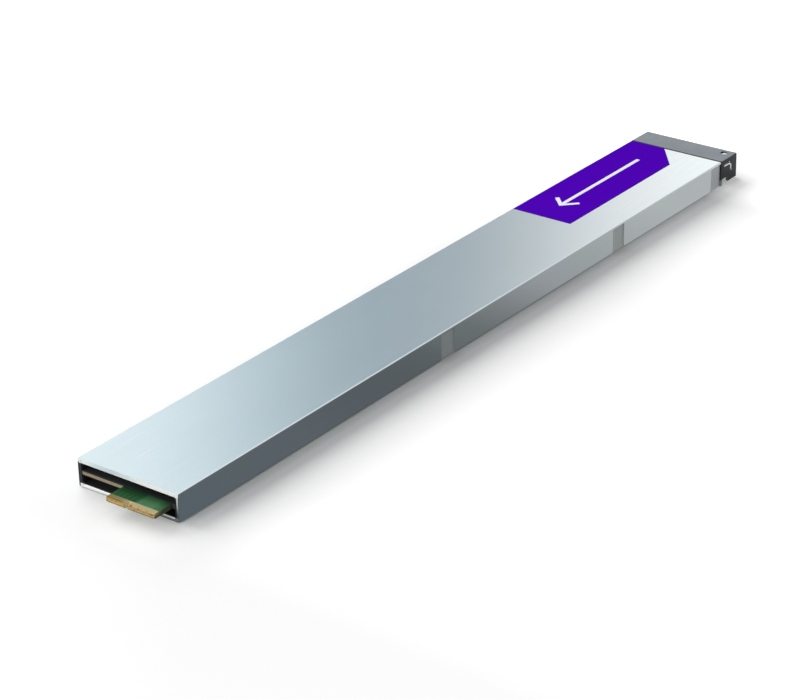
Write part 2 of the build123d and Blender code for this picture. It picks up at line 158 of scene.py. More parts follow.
def speckle(tree, vector, size_mm, detail=2.0, stretch=(1, 1, 1)):
    """Noise whose spots are about size_mm across, drawn out by stretch."""
    scale = [1 / (size_mm * MM * s) for s in stretch]
    moved = add(tree, "ShaderNodeMapping", {"Vector": vector, "Scale": scale})
    return add(tree, "ShaderNodeTexNoise", {"Vector": moved, "Scale": 1.0, "Detail": detail})


def two_tones(tree, noise, first, second, levels=STRONG):
    """A noise as patches of two colours."""
    return lay_over(tree, first, (where(tree, (noise, *levels)), second))


def finish_surface(tree, inputs, relief=None):
    """Ends a tree with one Principled surface. Its relief is a height from 0 to 1, the depth in
    millimetres and the strength."""
    if relief:
        height, depth_mm, strength = relief
        normal = add(tree, "ShaderNodeBump",
                     {"Height": height, "Distance": depth_mm * MM, "Strength": strength})
        inputs = {**inputs, "Normal": normal}
    surface = add(tree, "ShaderNodeBsdfPrincipled", inputs)
    add(tree, "ShaderNodeOutputMaterial", {"Surface": surface})


def grained_material(name, size_mm, first, second, inputs, relief=None, detail=2.0,
                     levels=STRONG):
    """A plain finish: a fine grain in two tones, which a relief of depth in millimetres and
    strength can raise."""
    material, tree = new_material(name)
    grain = speckle(tree, object_xyz(tree)[0], size_mm, detail)
    colour = two_tones(tree, grain, first, second, levels)
    finish_surface(tree, {"Base Color": colour, **inputs}, relief and (grain, *relief))
    return material


def paint(names, material):
    """Gives CAD nodes one material."""
    for name in names:
        mesh = nodes[name].data
        mesh.materials.clear()
        mesh.materials.append(material)


def starting(*starts):
    """The CAD nodes whose names start so."""
    return [n for n in sorted(nodes) if n.startswith(starts)]


def new_piece(name, mesh, material):
    """A finished piece on the module's body, at the origin."""
    piece = bpy.data.objects.new(name, mesh)
    bpy.context.scene.collection.objects.link(piece)
    mesh.materials.clear()
    mesh.materials.append(material)
    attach(piece, "root")


def plate(points, low, high):
    """A flat closed plate over an outline of X and Y, from one height to another."""
    work = bmesh.new()
    base = [work.verts.new((x, y, low)) for x, y in points]
    face = work.faces.new(base)
    made = bmesh.ops.extrude_face_region(work, geom=[face])
    raised = [v for v in made["geom"] if isinstance(v, bmesh.types.BMVert)]
    bmesh.ops.translate(work, verts=raised, vec=(0, 0, high - low))
    bmesh.ops.recalc_face_normals(work, faces=work.faces)
    mesh = bpy.data.meshes.new("plate")
    work.to_mesh(mesh)
    work.free()
    return mesh


class RulerCaseProps(bpy.types.PropertyGroup):
    """Finish of the aluminium case."""
    cover_colour: bpy.props.FloatVectorProperty(
        name="Cover colour", description="Bare colour of the folded cover",
        subtype="COLOR", size=4, default=linear("#F1F5F6"))
    cover_roughness: bpy.props.FloatProperty(
        name="Cover roughness", description="How widely the cover spreads a reflection",
        default=0.2, min=0.0, max=1.0, subtype="FACTOR")
    tray_colour: bpy.props.FloatVectorProperty(
        name="Tray colour", description="Blasted colour of the tray's walls",
        subtype="COLOR", size=4, default=linear("#DFE3E3"))
    grain: bpy.props.FloatProperty(
        name="Grain width", description="Width of the brushed grain on the cover",
        default=0.35 * MM, min=0.05 * MM, max=3 * MM, unit="LENGTH")


class RulerBracketProps(bpy.types.PropertyGroup):
    """Finish of the end bracket."""
    coat_colour: bpy.props.FloatVectorProperty(
        name="Coat colour", description="Dark coat of the folded bracket",
        subtype="COLOR", size=4, default=linear("#7E848B"))
    grit: bpy.props.FloatProperty(
        name="Coat grit", description="Size of the grain in the coat",
        default=0.5 * MM, min=0.05 * MM, max=3 * MM, unit="LENGTH")


class RulerLabelProps(bpy.types.PropertyGroup):
    """Colour and printed arrow of the label."""
    film_colour: bpy.props.FloatVectorProperty(
        name="Film colour", description="Colour of the printed film",
        subtype="COLOR", size=4, default=linear("#5206BC"))
    ink_colour: bpy.props.FloatVectorProperty(
        name="Ink colour", description="Colour of the printed arrow",
        subtype="COLOR", size=4, default=linear("#F6F2FA"))
    arrow_start: bpy.props.FloatProperty(
        name="Arrow start", description="From the label's near end to the arrow's tip",
        default=11 * MM, min=1 * MM, max=40 * MM, unit="LENGTH")
    arrow_length: bpy.props.FloatProperty(
        name="Arrow length", description="Length of the arrow that shows which end goes in",
        default=52 * MM, min=5 * MM, max=70 * MM, unit="LENGTH")
    arrow_reach: bpy.props.FloatProperty(
        name="Arrow reach", description="How far the arrow's head reaches to each side",
        default=5.2 * MM, min=1 * MM, max=10 * MM, unit="LENGTH")
    arrow_line: bpy.props.FloatProperty(
        name="Arrow line", description="Width of the arrow's printed line",
        default=1.5 * MM, min=0.3 * MM, max=4 * MM, unit="LENGTH")
    ink_height: bpy.props.FloatProperty(
        name="Ink height", description="Thickness of the printed ink",
        default=0.012 * MM, min=0.005 * MM, max=0.1 * MM, unit="LENGTH")


class RulerBoardProps(bpy.types.PropertyGroup):
    """Colours and tracks of the circuit board."""
    mask_colour: bpy.props.FloatVectorProperty(
        name="Mask colour", description="Solder mask over bare laminate",
        subtype="COLOR", size=4, default=linear("#4E7E55"))
    # The deep colour is also painted inside the case as shade
    deep_mask_colour: bpy.props.FloatVectorProperty(
        name="Deep mask colour", description="Solder mask over the tracked side",
        subtype="COLOR", size=4, default=linear("#285B32"))
    laminate_colour: bpy.props.FloatVectorProperty(
        name="Laminate colour", description="Cut edge of the glass and epoxy laminate",
        subtype="COLOR", size=4, default=linear("#D8B970"))
    track_count: bpy.props.IntProperty(
        name="Tracks", description="Tracks that run back from the card edge",
        default=5, min=1, max=30)
    track_pitch: bpy.props.FloatProperty(
        name="Track pitch", description="Distance from one track to the next",
        default=1.65 * MM, min=0.3 * MM, max=5 * MM, unit="LENGTH")
    track_width: bpy.props.FloatProperty(
        name="Track width", description="Width of a track under the solder mask",
        default=0.8 * MM, min=0.1 * MM, max=2 * MM, unit="LENGTH")
    finger_reach: bpy.props.FloatProperty(
        name="Finger reach", description="From the board's tip to the solder mask",
        default=2.4 * MM, min=1 * MM, max=6 * MM, unit="LENGTH")


class RulerStageProps(bpy.types.PropertyGroup):
    """Floor, lamps and camera."""
    lens: bpy.props.FloatProperty(
        name="Lens", description="Focal length of the camera, in millimetres",
        default=118.666, min=10, max=500)
    key_power: bpy.props.FloatProperty(
        name="Key power", description="Power of the large soft lamp on the left",
        default=11.8, min=0, max=100, unit="POWER")
    fill_power: bpy.props.FloatProperty(
        name="Fill power", description="Power of the soft lamp at the front",
        default=6.6, min=0, max=100, unit="POWER")
    ambient: bpy.props.FloatProperty(
        name="Ambient", description="Level of the light from all round",
        default=0.3, min=0, max=2)


def painted_mouth_reflection(tree, x):
    """Painted reflection on the cut edge over the mouth: pale at both ends and bluer between them.
    """
    return graded(tree, x, cover_low.x, cover_high.x, [
        (0.06, "#F6FEFE"), (0.19, "#DDEAEC"), (0.34, "#D0DAE2"), (0.5, "#E2EFF1"),
        (0.66, "#FFFFFC"), (1.0, "#F9FFF9")])


def painted_right_wall_shade(tree, z):
    """Painted shade on the cut edge down the right wall: white on top and slate at the floor."""
    down = where(tree, (z, edge_foot, cover_high.z - 7 * MM))
    return lay_over(tree, "#FEFEFB", (down, "#63676A"))


def brushed_aluminium(look):
    """Rolled aluminium sheet, fine brushed along its length and clear anodised: cool white
    metal with soft long reflections and hardly any sparkle."""
    material, tree = new_material("brushed_anodised_aluminium")
    place, x, y, z = object_xyz(tree)
    out_y = facing_xyz(tree)[1]
    # The real grain is about 0.05 mm, and it is drawn wider so that it shows
    grain = speckle(tree, place, look.grain / MM, 3.0, (1, 60, 1))
    cloud = speckle(tree, place, 14, 2.0, (1, 2.5, 1))
    bright = tuple(look.cover_colour)
    colour = lay_over(
        tree, two_tones(tree, grain, bright, toned(bright, 0.965)),
        (where(tree, (cloud, *STRONG), 0.35), toned(bright, 0.93)))
    # The sheared edge at the mouth is matt, and its light is painted: a painted reflection pale on
    # top, painted shade greyer down the right side with a dark arris, and dark down the left one
    sheet, wall, arris, turn = 1 * MM, 0.8 * MM, 0.2 * MM, 0.6 * MM
    front = where(tree, (out_y, "<", -0.7), (y, "<", cover_low.y + sheet))
    down = where(tree, (z, edge_foot, edge_foot - turn))
    sheared_painted_light = lay_over(
        tree, painted_mouth_reflection(tree, x),
        (where(tree, (x, "<", cover_low.x + wall), down), "#2F3335"),
        (where(tree, (x, ">", cover_high.x - wall)), painted_right_wall_shade(tree, z)),
        (where(tree, (x, ">", cover_high.x - arris), down), "#55595B"))
    colour = lay_over(tree, colour, (front, sheared_painted_light))
    rough = add(tree, "ShaderNodeMapRange", {
        "Value": grain, "From Min": STRONG[0], "From Max": STRONG[1],
        "To Min": look.cover_roughness - 0.02, "To Max": look.cover_roughness + 0.02})
    matt = where(tree, front, 0.55)
    rough = add(tree, "ShaderNodeMath", {0: rough, 1: matt}, operation="MAXIMUM")
    finish_surface(tree, {
        "Base Color": colour, "Metallic": where(tree, (front, 1.0, 0.0)), "Roughness": rough,
        "Specular IOR Level": 0.1}, (grain, 0.004, 0.25))
    return material


def blasted_aluminium(look):
    """Extruded aluminium, bead blasted and anodised: duller and greyer than the cover, with a
    fine even grain. The lip of the floor is milled bright, with a painted reflection and shade
    on its front, and what lies just inside the mouth is painted dark as shade."""
    material, tree = new_material("bead_blasted_aluminium")
    place, x, y, z = object_xyz(tree)
    out_y, out_z = facing_xyz(tree)[1:]
    # Blasting leaves pits of about 0.05 mm, drawn at 0.3 mm so that they show
    grit = speckle(tree, place, 0.3)
    base = tuple(look.tray_colour)
    front = where(tree, (out_y, "<", -0.9))
    mouth_depth, lip_height = 1.25 * MM, 1.3 * MM
    # Walls: painted shade makes the left one dark and the right one dark inside, and its outer
    # part pale with painted shade down it
    skin, crown = 0.22 * MM, 1.05 * MM
    wall = lay_over(
        tree, "#33373A",
        (where(tree, (x, ">", 0.0)), "#2A2E31"),
        (where(tree, front, (x, ">", tray_high.x - skin)), painted_right_wall_shade(tree, z)),
        (where(tree, front, (z, ">", tray_high.z - crown)), painted_mouth_reflection(tree, x)))
    # Lip of the floor: a bright broken edge, over a front with a painted reflection, pale at the
    # left end only, and painted shade along its sole; its top inside is painted dark as shade
    face = graded(tree, x, tray_low.x, tray_high.x, [
        (0.1, "#FEFEFE"), (0.19, "#EEFAF7"), (0.3, "#DADDDC"), (0.43, "#A9AFB0"),
        (0.65, "#7A8285")])
    sole_shade = graded(tree, x, tray_low.x, tray_high.x, [
        (0.1, "#C6CBCB"), (0.3, "#AEB4B4"), (0.43, "#868C8E"), (0.65, "#626B6E")])
    sole_top, sole_foot = tray_low.z + 0.42 * MM, tray_low.z + 0.26 * MM
    face = lay_over(tree, face, (where(tree, (z, sole_top, sole_foot)), sole_shade))
    lip = lay_over(tree, "#FFFFFE", (front, face), (where(tree, (out_z, ">", 0.9)), "#30353A"))
    low = where(tree, (z, "<", tray_low.z + lip_height))
    mouth = where(tree, (y, "<", cover_low.y + mouth_depth))
    colour = lay_over(
        tree, two_tones(tree, grit, base, toned(base, 0.9)),
        (mouth, lay_over(tree, wall, (low, lip))))
    finish_surface(tree, {
        "Base Color": colour, "Metallic": where(tree, (mouth, 1.0, 0.0), 0.5),
        "Roughness": 0.5, "Specular IOR Level": 0.1}, (grit, 0.01, 0.25))
    return material


def milled_aluminium():
    """Milled aluminium plate: bright metal with fine cutter lines across it, and matt where the
    mouth shows its cut edge, which carries a painted reflection."""
    material, tree = new_material("milled_aluminium")
    place, x = object_xyz(tree)[:2]
    lines = speckle(tree, place, 0.25, 2.0, (30, 1, 1))
    front = where(tree, (facing_xyz(tree)[1], "<", -0.7))
    colour = lay_over(
        tree, two_tones(tree, lines, "#F7F8F6", "#E9EBEA"), (front, painted_mouth_reflection(tree, x)))
    rough = add(tree, "ShaderNodeMapRange", {"Value": front, "To Min": 0.34, "To Max": 0.54})
    finish_surface(tree, {
        "Base Color": colour, "Metallic": where(tree, (front, 1.0, 0.0), 0.8),
        "Roughness": rough, "Specular IOR Level": 0.1}, (lines, 0.006, 0.2))
    return material


def polyester_film():
    """Black polyester film: near black, smooth and a little glossy."""
    return grained_material(
        "black_polyester_film", 9, "#2A2B2C", "#333435",
        {"Roughness": 0.42, "IOR": 1.6, "Specular IOR Level": 0.3},
        (0.05, 0.2), detail=1.0, levels=SOFT)


def coated_steel(look):
    """Folded steel sheet under a satin dark-grey coat: a soft sheen and a slight orange-peel
    grain. Shade is painted on: the side walls nearly black with a pale foot against their
    shadow, and the edges by the case dark. Along the slit the sheet is bare, and it is painted
    bright as a highlight."""
    material, tree = new_material("satin_coated_steel")
    place, x, y, z = object_xyz(tree)
    out_x, out_y, out_z = facing_xyz(tree)
    off_x, across = (
        add(tree, "ShaderNodeMath", {0: value}, operation="ABSOLUTE") for value in (x, out_x))
    peel = speckle(tree, place, look.grit / MM)
    cloud = speckle(tree, place, 6)
    base = tuple(look.coat_colour)
    # The side walls are painted nearly black as shade, and their foot by the case pale against its
    # shadow
    side = where(tree, (across, ">", 0.7))
    foot_height, foot_length, edge = 2.2 * MM, 0.9 * MM, 0.6 * MM
    foot = where(tree, (z, "<", bracket_low.z + foot_height),
                 (y, "<", bracket_low.y + foot_length))
    # Painted shade: the edge beside the case is dark, and what faces the case is dark, paler
    # towards the floor
    near = where(tree, (y, "<", bracket_low.y + edge))
    gap = graded(tree, z, bracket_low.z, bracket_high.z, [
        (0.18, "#A0A2A4"), (0.27, "#303134"), (0.5, "#242527"), (0.75, "#0C0D0E")])
    # The slit is cut after coating, so its edges are bare, and painted bright as a highlight, but
    # for its dark corner.
    # Its legs meet at slit_y and slit_z, and around them lies the room that holds its edges
    slit_y, slit_z = bracket_low.y + 7.3 * MM, bracket_high.z - 1.92 * MM
    room_y = bracket_low.y + 1.8 * MM, bracket_low.y + 7.8 * MM
    room_z = bracket_low.z + 3.4 * MM, bracket_high.z - 1.4 * MM
    wall_inside = bracket_high.x - 1 * MM
    corner = where(tree, (y, ">", slit_y - 1.8 * MM), (z, ">", slit_z - 1.0 * MM))
    cut = where(
        tree, (y, ">", room_y[0]), (y, "<", room_y[1]), (z, ">", room_z[0]),
        (z, "<", room_z[1]), (off_x, ">", wall_inside), (across, "<", 0.5),
        (corner, "<", 0.5))
    # A hair of the tab is bare too, and painted bright as a highlight. It follows both legs of the
    # slit and is round at their corner, because it lies at one reach from the middle of the bend
    bend, hair, clear = 1.3 * MM, 0.42 * MM, 0.3 * MM
    hair_start, hair_foot = bracket_low.y + 2.4 * MM, slit_z - 2.9 * MM
    squares = []
    for value, leg in ((y, slit_y), (z, slit_z)):
        over = add(tree, "ShaderNodeMath", {0: value, 1: leg - clear - bend},
                   operation="SUBTRACT")
        over = add(tree, "ShaderNodeMath", {0: over, 1: 0.0}, operation="MAXIMUM")
        squares.append(where(tree, over, over))
    reach = add(tree, "ShaderNodeMath", dict(enumerate(squares)), operation="ADD")
    reach = add(tree, "ShaderNodeMath", {0: reach}, operation="SQRT")
    bare = where(
        tree, side, (reach, "<", bend), (reach, ">", bend - hair),
        (y, ">", hair_start), (z, ">", hair_foot))
    # Bare steel, painted bright as a highlight along the slit
    steel = "#F2F6F5"
    colour = lay_over(
        tree, two_tones(tree, cloud, base, toned(base, 1.12)),
        (side, lay_over(tree, "#37373A", (foot, "#A0A1A3"))),
        (where(tree, near, (out_z, ">", 0.7)), "#1E2022"),
        (where(tree, near, (out_y, "<", -0.5)), gap), (cut, steel), (bare, steel))
    rough = add(tree, "ShaderNodeMapRange", {
        "Value": peel, "From Min": STRONG[0], "From Max": STRONG[1],
        "To Min": 0.36, "To Max": 0.44})
    finish_surface(tree, {
        "Base Color": colour, "Metallic": bare, "Roughness": rough, "IOR": 1.5,
        "Specular IOR Level": 0.2}, (peel, 0.012, 0.2))
    return material


def label_film(look):
    """Matt polyester label film with a flat violet print: strong colour, almost no shine, and a
    darker cut rim."""
    material, tree = new_material("printed_label_film")
    fleck = speckle(tree, object_xyz(tree)[0], 0.8)
    base = tuple(look.film_colour)
    rim = where(tree, (facing_xyz(tree)[2], "<", 0.5))
    colour = lay_over(
        tree, two_tones(tree, fleck, base, toned(base, 0.9)), (rim, "#22005A"))
    finish_surface(tree, {
        "Base Color": colour, "Roughness": 0.6, "IOR": 1.5, "Specular IOR Level": 0.0},
        (fleck, 0.004, 0.1))
    return material


def printing_ink(look):
    """White screen-printing ink: matt and slightly uneven."""
    base = tuple(look.ink_colour)
    return grained_material(
        "white_screen_ink", 0.5, base, toned(base, 0.95),
        {"Roughness": 0.6, "IOR": 1.5, "Specular IOR Level": 0.2}, levels=SOFT)


def board_laminate(look):
    """Glass and epoxy circuit board. Its faces carry green solder mask, the strip under the
    fingers is bare, and its cut edges show layered laminate: golden at the tip, tan at the
    shoulder, and browner along the routed sides of the tongue. Shade is painted on the mask
    near and inside the case, along the undersides of the edges, over and under the shoulder,
    and as the brown of the routed sides, and the key notch is painted pale against its shade."""
    material, tree = new_material("fr4_board_with_green_mask")
    place, x, y, z = object_xyz(tree)
    out_x, out_z = facing_xyz(tree)[::2]
    lying = add(tree, "ShaderNodeMath", {0: out_z}, operation="ABSOLUTE")
    # Places across the tongue are told from its contacts' left end, and others along it from
    # its tip or from the mouth of the case
    left, right = finger_low.x, finger_high.x
    tip, mouth = board_low.y, cover_low.y
    # Solder mask: green with faint clouds, deeper over the side with the tracks and at the right
    # end, with painted shade towards the mouth and painted shade, even and deep, inside the case
    cloud = speckle(tree, place, 2.5)
    green = tuple(look.mask_colour)
    deep = where(tree, (x, left + 9.6 * MM, left + 8.7 * MM))
    for share in (where(tree, (x, right - 3 * MM, right), 0.6),
                  where(tree, (y, mouth + 2 * MM, mouth + 6 * MM))):
        deep = add(tree, "ShaderNodeMath", {0: deep, 1: share}, operation="MAXIMUM")
    shade = where(tree, (y, tip + 4 * MM, tip + 8 * MM), 0.65)
    # Bare strip under the fingers, duller at its left end
    bare = where(tree, (y, "<", tip + look.finger_reach))
    worn = where(tree, (x, left + 6 * MM, left))
    face = lay_over(
        tree, two_tones(tree, cloud, green, toned(green, 0.8)),
        (deep, tuple(look.deep_mask_colour)), (shade, "#0A2A16"),
        (bare, lay_over(tree, "#B4AA80", (worn, "#82784A"))))
    # Cut edges: layers of glass cloth about 0.2 mm thick, with drops of resin along them, paler
    # to the right, and browner underneath as painted shade
    layers = speckle(tree, place, 0.2, 2.0, (6, 6, 1))
    drops = speckle(tree, place, 0.9, 3.0, (1.4, 1, 0.5))
    resin = (where(tree, (drops, 0.55, 0.62), 0.85), "#7B5C26")
    under_shade = where(tree, (z, "<", board_low.z + 0.65 * MM))
    edge = lay_over(
        tree, two_tones(tree, layers, tuple(look.laminate_colour), "#C9A55D"),
        (where(tree, (x, left + 6 * MM, left + 11 * MM)), "#C6A66C"), resin, (under_shade, "#8A7142"))
    # The bevel: like the front on its lower half, and on top dark at the left and pale at the
    # right
    crest = board_high.z - 0.16 * MM
    dark = lay_over(tree, "#AA8D4F", (where(tree, (z, ">", crest)), "#7F6A3A"))
    pale = lay_over(tree, "#A18658", (where(tree, (z, crest - 0.08 * MM, crest)), "#B9A67F"))
    dull = where(tree, (x, left + 9 * MM, left + 5 * MM))
    slope = lay_over(tree, pale, (dull, dark), resin)
    # The right flank: painted dark as shade, paler along its top, and browner towards the case as
    # painted shade
    pale_top = where(tree, (z, board_high.z - 1.1 * MM, board_high.z - 0.5 * MM))
    back = where(tree, (y, tip, tip + 4 * MM))
    flank = lay_over(tree, "#8F8350", (pale_top, "#D6C88A"), (back, "#656850"))
    # The shoulder shows its upper part; over and under it the edge is painted near black as shade,
    # and right of the tongue painted darker as shade
    beside = where(tree, (x, ">", right))
    film, shade_foot, shade_top = "#1B1A19", board_low.z + 0.3 * MM, board_high.z - 0.25 * MM
    shoulder = lay_over(
        tree, two_tones(tree, layers, "#A59882", "#92846C"),
        (where(tree, (z, "<", shade_foot)), film), (where(tree, (z, ">", shade_top)), film),
        (beside, "#4A443B"))
    bevel = where(tree, (out_z, ">", 0.5))
    # The key notch's walls are painted pale against their shade
    notch = where(tree, (y, ">", tip + 0.1 * MM), (lying, "<", 0.3))
    outside = where(tree, (out_x, ">", 0.8), beside)
    within = where(tree, (y, ">", mouth - 0.5 * MM))
    flat = where(tree, (lying, ">", 0.96))
    colour = lay_over(
        tree, edge, (bevel, slope), (notch, "#E6D6A8"), (outside, flank), (within, shoulder),
        (flat, face))
    finish_surface(tree, {
        "Base Color": colour, "Roughness": 0.42, "IOR": 1.5, "Specular IOR Level": 0.05},
        (cloud, 0.01, 0.15))
    return material


def masked_copper():
    """Copper track under solder mask: the mask looks darker and a little bluer over it."""
    return grained_material(
        "copper_under_solder_mask", 2.0, "#1F4728", "#193D21",
        {"Roughness": 0.38, "IOR": 1.5, "Specular IOR Level": 0.1}, levels=SOFT)


def plated_gold():
    """Hard gold plating over nickel: warm yellow metal, slightly satin, wiped by insertion and
    duller at the left end."""
    material, tree = new_material("hard_gold_plating")
    place, x = object_xyz(tree)[:2]
    wipe = speckle(tree, place, 0.12, 2.0, (1, 12, 1))
    dull = where(tree, (x, finger_low.x + 8.5 * MM, finger_low.x + 4.5 * MM))
    colour = lay_over(tree, two_tones(tree, wipe, "#D3C296", "#C9B785"), (dull, "#958656"))
    finish_surface(
        tree, {"Base Color": colour, "Metallic": 0.7, "Roughness": 0.35}, (wipe, 0.003, 0.2))
    return material


def moulding_compound():
    """Black epoxy moulding compound: matt, with a fine even sand finish from the mould."""
    return grained_material(
        "black_moulding_compound", 0.12, "#2A2A2B", "#343435",
        {"Roughness": 0.62, "IOR": 1.55}, (0.008, 0.3))


def silicone_pad():
    """Silicone gap pad: soft matt grey-blue rubber with a fine filler grain."""
    return grained_material(
        "silicone_gap_pad", 0.4, "#9AA6B2", "#8793A1",
        {"Roughness": 0.75, "IOR": 1.42}, (0.02, 0.3), detail=3.0)


def pressed_iron():
    """Pressed iron powder: dark grey, faintly metallic, with visible grains."""
    return grained_material(
        "pressed_iron_powder", 0.25, "#6A6A6C", "#505052",
        {"Metallic": 0.35, "Roughness": 0.55}, (0.015, 0.35), detail=3.0)


def capacitor_body():
    """Moulded tantalum capacitor: brown-black epoxy whose end terminals are bright tin."""
    material, tree = new_material("moulded_tantalum_capacitor")
    place, y = object_xyz(tree)[:3:2]
    sand = speckle(tree, place, 0.15)
    # The terminals stand 0.1 mm out of both ends, and the rows repeat along the board
    low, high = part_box("hold_up_capacitor_1")
    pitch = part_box("hold_up_capacitor_3")[0].y - low.y
    middle, half = (low.y + high.y) / 2, (high.y - low.y) / 2
    in_row = add(tree, "ShaderNodeMath", {0: y, 1: middle + pitch / 2, 2: middle - pitch / 2},
                 operation="WRAP")
    off = add(tree, "ShaderNodeMath", {0: in_row, 1: middle}, operation="SUBTRACT")
    off = add(tree, "ShaderNodeMath", {0: off}, operation="ABSOLUTE")
    tinned = where(tree, (off, ">", half - 0.09 * MM))
    colour = lay_over(
        tree, two_tones(tree, sand, "#3A332C", "#2E2823"), (tinned, "#D8D8D5"))
    finish_surface(tree, {
        "Base Color": colour, "Metallic": where(tree, tinned, 0.4), "Roughness": 0.5,
        "IOR": 1.55}, (sand, 0.006, 0.25))
    return material


def fired_ceramic():
    """Fired ceramic of chip capacitors: smooth warm tan body."""
    return grained_material(
        "fired_chip_ceramic", 0.2, "#B89468", "#A5825A", {"Roughness": 0.4, "IOR": 1.6})


def plated_tin():
    """Matt tin plating: pale soft metal, slightly uneven."""
    return grained_material(
        "matt_tin_plating", 0.15, "#DFDFDC", "#C9C9C6",
        {"Metallic": 1.0, "Roughness": 0.4}, (0.004, 0.2))


def clear_acrylic():
    """Moulded acrylic: clear and glossy, faintly milky in the thick block."""
    return grained_material(
        "moulded_clear_acrylic", 1.5, "#EEF3F4", "#E2EAEC",
        {"Roughness": 0.12, "IOR": 1.49, "Transmission Weight": 0.55}, levels=SOFT)


def lamp_resin():
    """Clear casting resin over a small lamp: pale yellow and glossy."""
    return grained_material(
        "clear_lamp_resin", 0.4, "#F1EBC4", "#E6DFA8", {"Roughness": 0.2, "IOR": 1.5},
        levels=SOFT)


def zinc_steel():
    """Zinc-plated steel: cool bright metal with faint turning marks."""
    return grained_material(
        "zinc_plated_steel", 0.15, "#C9CBCD", "#B7BABD",
        {"Metallic": 1.0, "Roughness": 0.32}, (0.004, 0.2))


def block_row_tree():
    """Geometry Nodes that set a row of equal blocks, each count, start, step and size an input."""
    tree = bpy.data.node_groups.new("Row of blocks", "GeometryNodeTree")
    sockets = [
        ("Geometry", "NodeSocketGeometry"), ("Count", "NodeSocketInt"),
        ("Start", "NodeSocketVector"), ("Step", "NodeSocketVector"),
        ("Size", "NodeSocketVector"), ("Material", "NodeSocketMaterial"),
    ]
    for name, kind in sockets:
        tree.interface.new_socket(name, in_out="INPUT", socket_type=kind)
    tree.interface.new_socket("Geometry", in_out="OUTPUT", socket_type="NodeSocketGeometry")
    given = add(tree, "NodeGroupInput").node.outputs
    line = add(
        tree, "GeometryNodeMeshLine",
        {"Count": given["Count"], "Start Location": given["Start"], "Offset": given["Step"]},
        mode="OFFSET")
    block = add(tree, "GeometryNodeMeshCube", {"Size": given["Size"]})
    placed = add(tree, "GeometryNodeInstanceOnPoints", {"Points": line, "Instance": block})
    solid = add(tree, "GeometryNodeRealizeInstances", {"Geometry": placed})
    painted = add(
        tree, "GeometryNodeSetMaterial", {"Geometry": solid, "Material": given["Material"]})
    add(tree, "NodeGroupOutput", {"Geometry": painted})
    return tree


def rows_piece(name, rows, material):
    """One piece from rows of blocks. A row is (count, start, step, size)."""
    tree = bpy.data.node_groups.get("Row of blocks") or block_row_tree()
    keys = {
        item.name: item.identifier
        for item in tree.interface.items_tree if item.in_out == "INPUT"
    }
    joined = bmesh.new()
    for row in rows:
        carrier = bpy.data.objects.new("row", bpy.data.meshes.new("row"))
        bpy.context.scene.collection.objects.link(carrier)
        modifier = carrier.modifiers.new("row", "NODES")
        modifier.node_group = tree
        for key, value in zip(("Count", "Start", "Step", "Size", "Material"), (*row, material)):
            modifier[keys[key]] = value
        carrier.update_tag()
        bpy.context.view_layer.update()
        graph = bpy.context.evaluated_depsgraph_get()
        mesh = bpy.data.meshes.new_from_object(carrier.evaluated_get(graph), depsgraph=graph)
        if not mesh.vertices:
            raise RuntimeError(f"{name}: the row of blocks came out empty")
        joined.from_mesh(mesh)
        carrier.modifiers.clear()
        bpy.data.objects.remove(carrier)
        bpy.data.meshes.remove(mesh)
    whole = bpy.data.meshes.new(name)
    joined.to_mesh(whole)
    joined.free()
    new_piece(name, whole, material)


class RULER_OT_case(bpy.types.Operator):
    """Finish the cover, the tray, the heat spreader and the insulating film"""
    bl_idname = "ruler.case"
    bl_label = "Case"

    def execute(self, context):
        look = context.scene.ruler_case
        paint(["top_cover"], brushed_aluminium(look))
        paint(["base_tray"], blasted_aluminium(look))
        paint(["heat_spreader"], milled_aluminium())
        paint(["insulating_film"], polyester_film())
        return {"FINISHED"}


class RULER_OT_bracket(bpy.types.Operator):
    """Coat the end bracket"""
    bl_idname = "ruler.bracket"
    bl_label = "End bracket"

    def execute(self, context):
        paint(["end_bracket"], coated_steel(context.scene.ruler_bracket))
        return {"FINISHED"}


class RULER_OT_label(bpy.types.Operator):
    """Print the label and its plain insertion arrow"""
    bl_idname = "ruler.label"
    bl_label = "Label"

    def execute(self, context):
        look = context.scene.ruler_label
        paint(["label"], label_film(look))
        middle = (label_low.x + label_high.x) / 2
        near = label_low.y + look.arrow_start
        far = near + look.arrow_length
        reach = look.arrow_reach
        half = look.arrow_line / 2
        wide = look.arrow_line * math.sqrt(0.5)
        right = [
            (0, near),
            (reach, near + reach),
            (reach - wide, near + reach + wide),
            (half, near + wide + wide + half),
            (half, far),
        ]
        outline = [(middle + x, y) for x, y in right]
        outline += [(middle - x, y) for x, y in reversed(right[1:])]
        arrow = plate(outline, label_high.z, label_high.z + look.ink_height)
        new_piece("label_arrow", arrow, printing_ink(look))
        return {"FINISHED"}


class RULER_OT_board(bpy.types.Operator):
    """Finish the board and lay the tracks under its solder mask"""
    bl_idname = "ruler.board"
    bl_label = "Circuit board"

    def execute(self, context):
        look = context.scene.ruler_board
        paint(["main_board"], board_laminate(look))
        track_start = board_low.y + look.finger_reach
        mouth = cover_low.y + 0.2 * MM
        length = mouth - track_start
        thick = 0.02 * MM
        size = (look.track_width, length, thick)
        start = (finger_low.x + 1.1 * MM, track_start + length / 2, board_high.z + thick / 2)
        row = (look.track_count, start, (look.track_pitch, 0, 0), size)
        rows_piece("board_tracks", [row], masked_copper())
        # Black film laid on the board between the mouth and the chip capacitors, as painted shade
        # inside the case
        film_thick = 0.06 * MM
        half, far = board_high.x - 0.1 * MM, coupling_low.y - 0.4 * MM
        low = board_high.z + thick
        outline = [(-half, mouth), (half, mouth), (half, far), (-half, far)]
        new_piece("board_shade_film", plate(outline, low, low + film_thick), polyester_film())
        return {"FINISHED"}


class RULER_OT_contacts(bpy.types.Operator):
    """Plate the edge contacts"""
    bl_idname = "ruler.contacts"
    bl_label = "Edge contacts"

    def execute(self, context):
        paint(starting("edge_contacts"), plated_gold())
        return {"FINISHED"}


